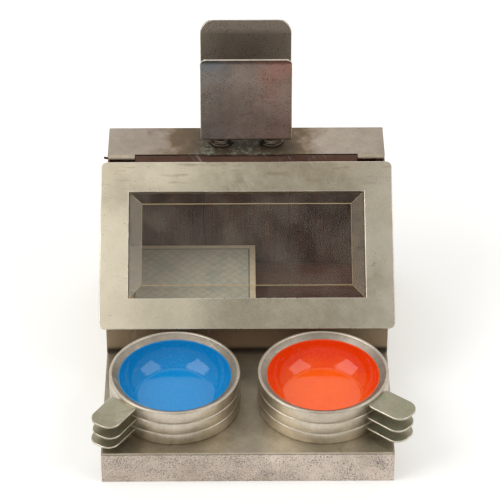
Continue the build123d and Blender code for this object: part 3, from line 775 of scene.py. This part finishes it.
# %% Measure the closed lid
hinge = next(joint for joint in frame["joints"] if joint["name"] == "lid_hinge")
hinge_axis = Vector(hinge["pos_m"])
widest = max(frame["nodes"]["lid_glass"].data.polygons, key=lambda face: face.area)
lid_slope = abs(math.atan(widest.normal.y / widest.normal.z))
into_lid = Matrix.Translation(hinge_axis) @ Matrix.Rotation(lid_slope, 4, "X")


def flat_box(node):
    """Corners of a lid node with the lid laid flat and the hinge axis through the origin."""
    corners = [into_lid.inverted() @ vertex.co for vertex in frame["nodes"][node].data.vertices]
    return (Vector([min(corner[axis] for corner in corners) for axis in range(3)]),
            Vector([max(corner[axis] for corner in corners) for axis in range(3)]))


def tilt_into_lid(piece):
    """Turn a flat piece into the slope of the closed lid."""
    piece.matrix_world = into_lid
    settle(piece)


plate_low, plate_high = flat_box("lid_frame")
pane_low, pane_high = flat_box("lid_glass")
GLASS_LAP = 1.5 * MM
window_low = pane_low + Vector((GLASS_LAP, GLASS_LAP, 0))
window_high = pane_high - Vector((GLASS_LAP, GLASS_LAP, 0))
print("lid slope", round(math.degrees(lid_slope), 2), "degrees, window",
      [round(side / MM, 1) for side in (window_high - window_low).xy], "mm")

# %% [markdown]
# The lid's plate starts as a plane. Four cuts mark the window, and the face in the middle is
# deleted. The four outer corners are rounded, the plane gets the thickness of the sheet, and its
# edges are eased. Cutting with bisect keeps the border widths exact.

# %% Lid plate
LID_CORNER = 2.4 * MM

bpy.ops.object.select_all(action="DESELECT")
bpy.ops.mesh.primitive_plane_add(size=1)
lid_sheet = new_piece("lid_frame_plate")
lid_size = plate_high - plate_low
lid_sheet.scale = (lid_size.x, lid_size.y, 1)
lid_sheet.location = ((plate_low + plate_high) / 2).xy.to_3d() + Vector((0, 0, plate_low.z))
settle(lid_sheet)
edit(lid_sheet)
for axis, place in ((0, window_low.x), (0, window_high.x), (1, window_low.y), (1, window_high.y)):
    bpy.ops.mesh.select_all(action="SELECT")
    cut = [0, 0, 0]
    cut[axis] = 1
    bpy.ops.mesh.bisect(plane_co=[place * part for part in cut], plane_no=cut)
window_middle = (window_low + window_high) / 2
pick_where(lid_sheet, "FACE",
           lambda at: near(at.x, window_middle.x, MM) and near(at.y, window_middle.y, MM))
bpy.ops.mesh.delete(type="FACE")
pick_where(lid_sheet, "VERT", lambda at: near(abs(at.x), plate_high.x)
           and (near(at.y, plate_low.y) or near(at.y, plate_high.y)))
bpy.ops.mesh.bevel(offset=LID_CORNER, segments=8, affect="VERTICES")
leave_edit()
modify(lid_sheet, "SOLIDIFY", thickness=plate_high.z - plate_low.z, offset=1.0)
# The lid's eased edges and its sides take the rubbed finish, painted bright as a highlight.
ease(lid_sheet, 0.3 * MM, 4, rubbed=True)
face_finish(lid_sheet, 1, lambda at, out: abs(out.z) < 0.6)
tilt_into_lid(lid_sheet)
stand_in(lid_sheet, "lid_frame", lid_plate)

# %% [markdown]
# The pane starts as a cube. Its top face is inset by the width of the bevel and the rim is
# left lower, which makes the sloping faces that bend the view at the edge of the window. Clear
# glass stops hardly any light, so the pane casts no shadow on what lies under it. A frame under
# the lid holds the pane in place. The bevel's ridges and its left and right faces are painted
# gold, a painted glint and a painted refraction of light.

# %% Bevelled pane
GLASS_BEVEL = 6.8 * MM
GLASS_EDGE = 1.1 * MM

pane = block("lid_glass_pane", pane_low, (pane_high.x, pane_high.y, pane_low.z + GLASS_EDGE))
edit(pane)
pick_where(pane, "FACE", lambda at: near(at.z, pane_low.z + GLASS_EDGE))
bpy.ops.mesh.inset(thickness=GLASS_BEVEL)
bpy.ops.transform.translate(value=(0, 0, pane_high.z - pane_low.z - GLASS_EDGE))
leave_edit()
for _ in range(3):
    pane.data.materials.append(None)
# The eased ridges take the second material, a painted gold glint.
modify(pane, "BEVEL", width=0.16 * MM, segments=2, limit_method="ANGLE", angle_limit=math.radians(5),
       material=1)
# The left and right sloping faces take the third material, a painted gold refraction of light.
face_finish(pane, 2, lambda at, out: 0.1 < abs(out.x) < 0.5 and out.z > 0.5
            and abs(at.x - (pane_low.x + pane_high.x) / 2) > (pane_high.x - pane_low.x) / 2 - GLASS_BEVEL)
modify(pane, "WEIGHTED_NORMAL", keep_sharp=True)
tilt_into_lid(pane)
pane.visible_shadow = False
stand_in(pane, "lid_glass", window_glass, [bevel_edge, bevel_glass])
stand_in(eased_copy("glass_retainer", "glass_retainer_frame", 0.1 * MM, 2), "glass_retainer",
         case_plate)

# %% [markdown]
# ## The ashtrays
# Each ashtray is turned and pressed: a band with a rolled bead along its top, a plated
# dish whose rim slopes in from the bead, and enamel on the dish. They are round, so each is an
# outline spun about the middle. The outline starts as a circle whose corners are moved to their
# radius and height, and the spin operator turns it. One ashtray is made at the origin and copied
# to the six places, each copy with its own mesh.

# %% Turned pieces
def turned(name, outline, steps=144):
    """Spin a closed outline of (radius, height) points about the Z axis."""
    bpy.ops.object.select_all(action="DESELECT")
    bpy.ops.mesh.primitive_circle_add(vertices=len(outline), radius=1)
    piece = new_piece(name)
    for corner, (radius, height) in zip(piece.data.vertices, outline):
        corner.co = (radius, 0, height)
    edit(piece)
    bpy.ops.mesh.spin(steps=steps, angle=math.tau, center=(0, 0, 0), axis=(0, 0, 1))
    bpy.ops.mesh.select_all(action="SELECT")
    bpy.ops.mesh.remove_doubles(threshold=0.001 * MM)
    bpy.ops.mesh.normals_make_consistent(inside=False)
    leave_edit()
    bpy.ops.object.shade_smooth_by_angle(angle=math.radians(40))
    return piece


def arc(centre, radius, start, end, points):
    """Points of an arc in (radius, height), with its angles in degrees."""
    turns = [math.radians(start + (end - start) * step / (points - 1)) for step in range(points)]
    return [(centre[0] + radius * math.cos(turn), centre[1] + radius * math.sin(turn)) for turn in turns]


# %% [markdown]
# The band's outline runs up the outside, round the bead and down the inside. The round of the
# bead and a chamfer at the foot leave a narrow gap between stacked trays, which reads as a dark line.

# %% Band
ring_low, ring_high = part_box("left_tray_1_ring")
TRAY_RADIUS = (ring_high.x - ring_low.x) / 2
BAND_HEIGHT = ring_high.z - ring_low.z
BAND_WALL = 0.75 * MM
BEAD_WIDTH = 1.5 * MM
BEAD_HEIGHT = 1.55 * MM
BEAD_ROUND = 0.62 * MM
FOOT_CHAMFER = 0.25 * MM

bead_foot = BAND_HEIGHT - BEAD_HEIGHT
bead_inside = TRAY_RADIUS - BEAD_WIDTH
outside_round = arc((TRAY_RADIUS - BEAD_ROUND, BAND_HEIGHT - BEAD_ROUND), BEAD_ROUND, 0, 90, 8)
inside_round = arc((bead_inside + BEAD_ROUND, BAND_HEIGHT - BEAD_ROUND), BEAD_ROUND, 90, 180, 8)
band_outline = [
    (TRAY_RADIUS - BAND_WALL, 0),
    (TRAY_RADIUS - FOOT_CHAMFER, 0),
    (TRAY_RADIUS - 0.4 * FOOT_CHAMFER, 0.6 * FOOT_CHAMFER),
    (TRAY_RADIUS, 1.4 * FOOT_CHAMFER),
    *outside_round,
    *inside_round,
    (bead_inside, bead_foot + 0.2 * MM),
    (bead_inside + 0.2 * MM, bead_foot),
    (TRAY_RADIUS - BAND_WALL, bead_foot),
]
band = turned("tray_band", band_outline)
print("band", round(2 * TRAY_RADIUS / MM, 1), "mm across and", round(BAND_HEIGHT / MM, 2), "mm high")

# %% [markdown]
# The bowl's wall is an arc from the enamel's edge down to its floor, met by a small curve at
# the bottom. The dish follows the same arc a little further out, so the enamel lies on it.

# %% Enamel and dish
enamel_low, enamel_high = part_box("left_tray_1_enamel")
ENAMEL = 0.4 * MM
DISH = 0.6 * MM
RIM_DROP = 0.45 * MM
FLOOR_RADIUS = 15.25 * MM
WALL_ARC = 14.0 * MM
enamel_edge = enamel_high.z - ring_low.z
enamel_radius = 21.85 * MM
bowl_floor = enamel_low.z - ring_low.z + ENAMEL
wall_drop = enamel_edge - bowl_floor
wall_run = enamel_radius - FLOOR_RADIUS
wall_chord = math.hypot(wall_drop, wall_run)
wall_reach = math.sqrt(WALL_ARC ** 2 - (wall_chord / 2) ** 2)
WALL_CENTRE = ((enamel_radius + FLOOR_RADIUS) / 2 - wall_reach * wall_drop / wall_chord,
               (enamel_edge + bowl_floor) / 2 + wall_reach * wall_run / wall_chord)


def wall_line(top, low, offset, points):
    """Points down the bowl's wall, offset outwards from the surface of the enamel."""
    radius = WALL_ARC + offset
    ends = [math.degrees(math.asin((height - WALL_CENTRE[1]) / radius)) for height in (top, low)]
    return arc(WALL_CENTRE, radius, ends[0], ends[1], points)


FLOOR_CURVE = 0.9 * MM


def bowl_line(top, offset):
    """The wall, the small curve at its foot and the floor, ending on the axis."""
    floor = bowl_floor - offset
    wall = wall_line(top, floor + FLOOR_CURVE * 0.55, offset, 16)
    foot = wall_line(floor + FLOOR_CURVE * 0.2, floor, offset, 2)
    soft = [((2 * wall[-1][0] + foot[0][0]) / 3 - 0.03 * MM, floor + FLOOR_CURVE * 0.3),
            (foot[1][0] - 0.35 * MM, floor + FLOOR_CURVE * 0.08)]
    flat = [(foot[1][0] - 1.0 * MM, floor), (foot[1][0] * 0.6, floor), (0, floor)]
    return [*wall, *soft, *flat]


LIP_HALF_WIDTH = 0.1 * MM
LIP_ROUND = 0.12 * MM
enamel_inside = bowl_line(enamel_edge - LIP_ROUND, 0)
enamel_outside = bowl_line(enamel_edge - LIP_ROUND, ENAMEL)
lip_radius = (enamel_inside[0][0] + enamel_outside[0][0]) / 2
lip = [(lip_radius + side * LIP_HALF_WIDTH, enamel_edge) for side in (1, -1)]
glaze = turned("tray_glaze", [*lip, *enamel_inside, *reversed(enamel_outside)])

RIM_IN_BAND = 0.05 * MM             # how far the dish's rim reaches into the bead
RIM_SWELL = 0.12 * MM
rim_outside = TRAY_RADIUS - BEAD_WIDTH + RIM_IN_BAND
rim_top = BAND_HEIGHT - RIM_DROP
dish_inside = bowl_line(enamel_edge, ENAMEL)
dish_outside = bowl_line(enamel_edge - DISH, ENAMEL + DISH)
rim_middle = ((rim_outside + dish_inside[0][0]) / 2, (rim_top + enamel_edge) / 2 + RIM_SWELL)
dish_outline = [(rim_outside, rim_top), rim_middle, *dish_inside, *reversed(dish_outside),
                (rim_outside, rim_top - DISH)]
dish = turned("tray_dish", dish_outline)
print("bowl", round(wall_drop / MM, 2), "mm deep")

# %% [markdown]
# A stack is three alike ashtrays, so the band, the dish and the enamel are copied to the place that
# each band has in the CAD model. The flat rest for a cigarette isn't round: it is an eased copy.

# %% Copy one ashtray to its six places
def copy_to(piece, name, place):
    """A copy with its own mesh, moved to a place."""
    pick(piece)
    bpy.ops.object.duplicate(linked=False)
    copy = new_piece(name)
    copy.location = place
    settle(copy)
    return copy


REST_EDGE = 0.24 * MM
for side, colour_coat, coat_slot in (("left", blue_enamel, "blue_enamel"),
                                     ("right", orange_enamel, "orange_enamel")):
    for number in (1, 2, 3):
        tray = f"{side}_tray_{number}"
        low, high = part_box(tray + "_ring")
        foot = Vector(((low.x + high.x) / 2, (low.y + high.y) / 2, low.z))
        stand_in(copy_to(band, tray + "_band", foot), tray + "_ring", band_plate)
        stand_in(copy_to(dish, tray + "_pressing", foot), tray + "_dish", rim_plate)
        stand_in(copy_to(glaze, tray + "_glaze", foot), tray + "_enamel", colour_coat)
        # The rest's eased edges are worn and painted bright as a highlight.
        rest = eased_copy(tray + "_tongue", tray + "_rest", REST_EDGE, 4, rubbed=True)
        stand_in(rest, tray + "_tongue", tongue_plate)
for pattern in (band, dish, glaze):
    bpy.data.objects.remove(pattern)

# %% [markdown]
# ## The matchbox clip
# The clip is one strip of sheet, bent to a U. It starts as a plane for its floor. The front and
# back edges are extruded up and then outwards for the flare and the lip, the folds are bevelled
# round, and the surface gets its thickness, half to each side.

# %% Bend the clip
CLIP_SHEET = 0.8 * MM
FLARE, FLARE_LEAN = 2.0 * MM, math.radians(25)
LIP, LIP_LEAN = 4.7 * MM, math.radians(25)
FRONT_HEIGHT = 39.6 * MM
BACK_HEIGHT = 41.5 * MM
FOLD = 1.3 * MM
FRONT_CORNER, BACK_CORNER = 3.0 * MM, 5.5 * MM

half = CLIP_SHEET / 2
clip_front = clip_low.y + FLARE * math.sin(FLARE_LEAN) + half * math.cos(FLARE_LEAN)
clip_back = clip_high.y - LIP * math.sin(LIP_LEAN) - half * math.cos(LIP_LEAN)
clip_floor = clip_low.z + half

bpy.ops.object.select_all(action="DESELECT")
bpy.ops.mesh.primitive_plane_add(size=1)
clip = new_piece("holder_clip_strip")
clip.scale = (clip_high.x - clip_low.x, clip_back - clip_front, 1)
clip.location = (0, (clip_front + clip_back) / 2, clip_floor)
settle(clip)
edit(clip)
front_straight = FRONT_HEIGHT - half - FLARE * math.cos(FLARE_LEAN)
for start, rise, lean, length, sense in (
    (clip_front, front_straight, FLARE_LEAN, FLARE, -1),
    (clip_back, BACK_HEIGHT - half, LIP_LEAN, LIP, 1),
):
    pick_where(clip, "EDGE", lambda at: near(at.y, start) and near(at.z, clip_floor))
    bpy.ops.mesh.extrude_edges_move(TRANSFORM_OT_translate={"value": (0, 0, rise)})
    bpy.ops.mesh.extrude_edges_move(TRANSFORM_OT_translate={
        "value": (0, sense * length * math.sin(lean), length * math.cos(lean))})
for start, height in ((clip_front, 0), (clip_back, 0), (clip_front, front_straight),
                      (clip_back, BACK_HEIGHT - half)):
    pick_where(clip, "EDGE", lambda at: near(at.y, start) and near(at.z, clip_floor + height)
               and near(at.x, 0))
    bpy.ops.mesh.bevel(offset=FOLD * 0.8, segments=6)
bpy.ops.mesh.select_all(action="SELECT")
bpy.ops.mesh.normals_make_consistent(inside=False)
leave_edit()
modify(clip, "SOLIDIFY", thickness=CLIP_SHEET, offset=0.0, use_even_offset=True)

# %% [markdown]
# The upper corners are trimmed round, as with snips. Two upright slabs with rounded corners are
# joined, and a boolean keeps what lies inside them. It takes one cut for each of the two heights.

# %% Trim the clip's corners
clip_middle = (clip_front + clip_back) / 2
front_top = clip_low.z + FRONT_HEIGHT


def trimmer(name, top, front, back, corner):
    """An upright slab as wide as the clip, with its two upper corners rounded."""
    slab = block(name, (clip_low.x, front, clip_low.z - MM), (clip_high.x, back, top))
    edit(slab)
    pick_where(slab, "EDGE", lambda at: near(at.z, top) and near(abs(at.x), clip_high.x))
    bpy.ops.mesh.bevel(offset=corner, segments=10)
    leave_edit()
    return slab


front_slab = trimmer("front_trimmer", front_top, clip_low.y - MM, clip_middle, FRONT_CORNER)
back_slab = trimmer("back_trimmer", clip_high.z, clip_middle, clip_high.y + MM, BACK_CORNER)
modify(front_slab, "BOOLEAN", operation="UNION", object=back_slab, solver="EXACT")
modify(clip, "BOOLEAN", operation="INTERSECT", object=front_slab, solver="EXACT")
for cutter in (front_slab, back_slab):
    bpy.data.objects.remove(cutter)
# The clip's eased edges and the top of its flare are worn and painted bright as a highlight.
ease(clip, 0.22 * MM, 3, rubbed=True)
face_finish(clip, 1, lambda at, out: at.z > front_top - FLARE and at.y < clip_middle
            and out.z > 0.6 and out.y < 0)
stand_in(clip, "holder_clip", clip_plate)
print("clip", [round(side / MM, 1) for side in clip.dimensions], "mm")

# %% [markdown]
# ## Feet, screws and nuts
# Each foot is a turned pillar with a flange, a ring and a neck, so it is spun like the bands.
# A slotted screw goes down through it. The slot is cut with a boolean, and the nut is a
# six-sided cylinder with a bored hole.

# %% Foot
FLANGE, RING, NECK, BORE = 5.1 * MM, 4.3 * MM, 3.6 * MM, 1.6 * MM
FLANGE_TOP, RING_TOP = 1.5 * MM, 3.3 * MM
TURNED_EDGE = 0.35 * MM
HOLLOW_EDGE = 0.15 * MM

foot_low, foot_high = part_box("holder_foot_left")
foot_height = foot_high.z - foot_low.z
foot = turned("pillar", [
    (BORE, 0), (FLANGE - HOLLOW_EDGE, 0), (FLANGE, HOLLOW_EDGE),
    *arc((FLANGE - TURNED_EDGE, FLANGE_TOP - TURNED_EDGE), TURNED_EDGE, 0, 90, 6),
    *arc((RING + HOLLOW_EDGE, FLANGE_TOP + HOLLOW_EDGE), HOLLOW_EDGE, 270, 180, 4),
    *arc((RING - TURNED_EDGE, RING_TOP - TURNED_EDGE), TURNED_EDGE, 0, 90, 6),
    *arc((NECK + HOLLOW_EDGE, RING_TOP + HOLLOW_EDGE), HOLLOW_EDGE, 270, 180, 4),
    (NECK, foot_height), (BORE, foot_height),
], steps=72)
print("foot", round(2 * FLANGE / MM, 1), "mm across and", round(foot_height / MM, 1), "mm high")

# %% Screw
SCREW, HEAD, HEAD_HEIGHT = 1.5 * MM, 2.7 * MM, 1.3 * MM
SLOT_WIDTH, SLOT_DEPTH = 0.6 * MM, 0.65 * MM
HEAD_ROUND = 0.58 * MM

screw_low, screw_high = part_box("holder_screw_left")
shank = screw_high.z - screw_low.z - HEAD_HEIGHT
screw = turned("slotted_screw", [
    (0, 0), (SCREW - 0.3 * MM, 0), (SCREW, 0.3 * MM), (SCREW, shank), (HEAD, shank),
    *arc((HEAD - HEAD_ROUND, shank + HEAD_HEIGHT - HEAD_ROUND), HEAD_ROUND, 0, 90, 7),
    (0, shank + HEAD_HEIGHT),
], steps=48)
head_top = shank + HEAD_HEIGHT
slot_cutter = block("slot_cutter", (-2 * HEAD, -SLOT_WIDTH / 2, head_top - SLOT_DEPTH),
                    (2 * HEAD, SLOT_WIDTH / 2, head_top + HEAD))
modify(screw, "BOOLEAN", operation="DIFFERENCE", object=slot_cutter, solver="EXACT")
bpy.data.objects.remove(slot_cutter)
print("screw", round(head_top / MM, 1), "mm long")

# %% Nut
nut_low, nut_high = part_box("holder_nut_left")
nut_height = nut_high.z - nut_low.z
ACROSS_FLATS = 5.5 * MM
NUT_PLAY = 0.02 * MM
ACROSS_CORNERS = ACROSS_FLATS / math.cos(math.radians(30))
bpy.ops.object.select_all(action="DESELECT")
bpy.ops.mesh.primitive_cylinder_add(vertices=6, radius=ACROSS_CORNERS / 2, depth=nut_height,
                                    location=(0, 0, nut_height / 2))
nut = new_piece("hexagon_nut")
settle(nut)
bpy.ops.object.select_all(action="DESELECT")
bpy.ops.mesh.primitive_cylinder_add(vertices=40, radius=SCREW + NUT_PLAY, depth=4 * nut_height)
bore_cutter = new_piece("bore_cutter")
modify(nut, "BOOLEAN", operation="DIFFERENCE", object=bore_cutter, solver="EXACT")
bpy.data.objects.remove(bore_cutter)
ease(nut, 0.15 * MM, 2)
print("nut", round(ACROSS_FLATS / MM, 1), "mm across its flats")

# %% [markdown]
# Both sides take the same three patterns, each moved to the place of its CAD node.

# %% Two feet, two screws, two nuts
for side in ("left", "right"):
    for pattern, node, name in ((foot, "holder_foot_", "_pillar"), (screw, "holder_screw_", "_slotted"),
                                (nut, "holder_nut_", "_hexagon")):
        low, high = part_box(node + side)
        place = Vector(((low.x + high.x) / 2, (low.y + high.y) / 2, low.z))
        stand_in(copy_to(pattern, node + side + name, place), node + side, turned_plate)
for pattern in (foot, screw, nut):
    bpy.data.objects.remove(pattern)

# %% [markdown]
# ## The matchbox
# The sleeve is a cube without its two ends and the drawer is a cube without its top. Both get the
# thickness of card inwards, so they fit into each other.

# %% Sleeve and drawer
CARD = 0.5 * MM


def card_box(name, node, open_side):
    """A thin box of card, open where the test on a face's middle says."""
    low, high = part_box(node)
    piece = block(name, low, high)
    edit(piece)
    pick_where(piece, "FACE", lambda at: open_side(at, low, high))
    bpy.ops.mesh.delete(type="FACE")
    leave_edit()
    modify(piece, "SOLIDIFY", thickness=CARD, offset=-1.0, use_even_offset=True)
    ease(piece, 0.14 * MM, 2)
    return piece


sleeve = card_box("matchbox_sleeve_card", "matchbox_sleeve",
                  lambda at, low, high: near(at.x, low.x) or near(at.x, high.x))
stand_in(sleeve, "matchbox_sleeve", printed_card)
drawer = card_box("matchbox_drawer_card", "matchbox_drawer", lambda at, low, high: near(at.z, high.z))
stand_in(drawer, "matchbox_drawer", drawer_card)

# %% [markdown]
# ## Floor, light and camera
# The object stands on a seamless white floor. Two large softboxes, left and right, light it from
# above, which gives the enamel its pair of window-like highlights. A weaker one overhead and a
# wide one behind give the flat plate its soft shine, and a pale sky fills the shadows. The camera
# looks down at 36 degrees from straight in front through a long lens.

# %% Floor
bpy.ops.object.select_all(action="DESELECT")
bpy.ops.mesh.primitive_plane_add(size=8, location=(0, 0, 0))
floor = new_piece("studio_floor")
floor_paper, floor_tree, floor_shader = new_finish("white_paper")[:3]
plug(floor_tree, floor_shader, {"Base Color": colour("#FAFAF8"), "Roughness": 0.9,
                                "Emission Color": (1, 1, 1, 1), "Emission Strength": 0.16})
floor.data.materials.append(floor_paper)

# %% Light
def softbox(name, direction, distance, size, radiance, width=None):
    """A square or wide area light that looks at the middle of the object."""
    bpy.ops.object.select_all(action="DESELECT")
    bpy.ops.object.light_add(type="AREA", location=Vector(direction).normalized() * distance)
    light = bpy.context.object
    light.name = name
    light.data.shape = "RECTANGLE"
    light.data.size, light.data.size_y = width or size, size
    light.data.energy = radiance * math.pi * size * (width or size)
    light.rotation_euler = Vector(direction).to_track_quat("Z", "Y").to_euler()
    return light


softbox("softbox_left", (-0.63, -0.25, 0.68), 0.9, 0.55, 3.0)
softbox("softbox_right", (0.63, -0.25, 0.68), 0.9, 0.5, 2.4)
softbox("softbox_top", (-0.12, 0.05, 1.0), 1.2, 0.9, 0.7)
softbox("softbox_back", (0.0, 0.84, 0.54), 1.4, 1.1, 0.65, width=3.0)

world = bpy.data.worlds.new("studio")
bpy.context.scene.world = world
world.use_nodes = True
world.node_tree.nodes["Background"].inputs["Color"].default_value = colour("#F4F3F0")
world.node_tree.nodes["Background"].inputs["Strength"].default_value = 0.5
bpy.context.scene.view_settings.view_transform = "Standard"

# %% Camera
CAMERA_PLACE = Vector((-2.4974, -826.181, 667.9036)) * MM
TURN, TILT, ROLL = math.radians(0.26), math.radians(36.32), math.radians(0.08)
LENS, SENSOR = 185.25, 36           # in mm
forward = Vector((math.sin(TURN) * math.cos(TILT), math.cos(TURN) * math.cos(TILT), -math.sin(TILT)))
bpy.ops.object.camera_add(location=CAMERA_PLACE)
camera = bpy.context.object
camera.rotation_euler = (forward.to_track_quat("-Z", "Y") @ Matrix.Rotation(-ROLL, 4, "Z").to_quaternion()
                         ).to_euler()
camera.data.lens = LENS
camera.data.sensor_width = SENSOR
camera.data.clip_start = 0.05
bpy.context.scene.camera = camera
bpy.context.view_layer.update()
print("camera", [[round(part, 5) for part in row] for row in camera.matrix_world.to_3x3().transposed()])
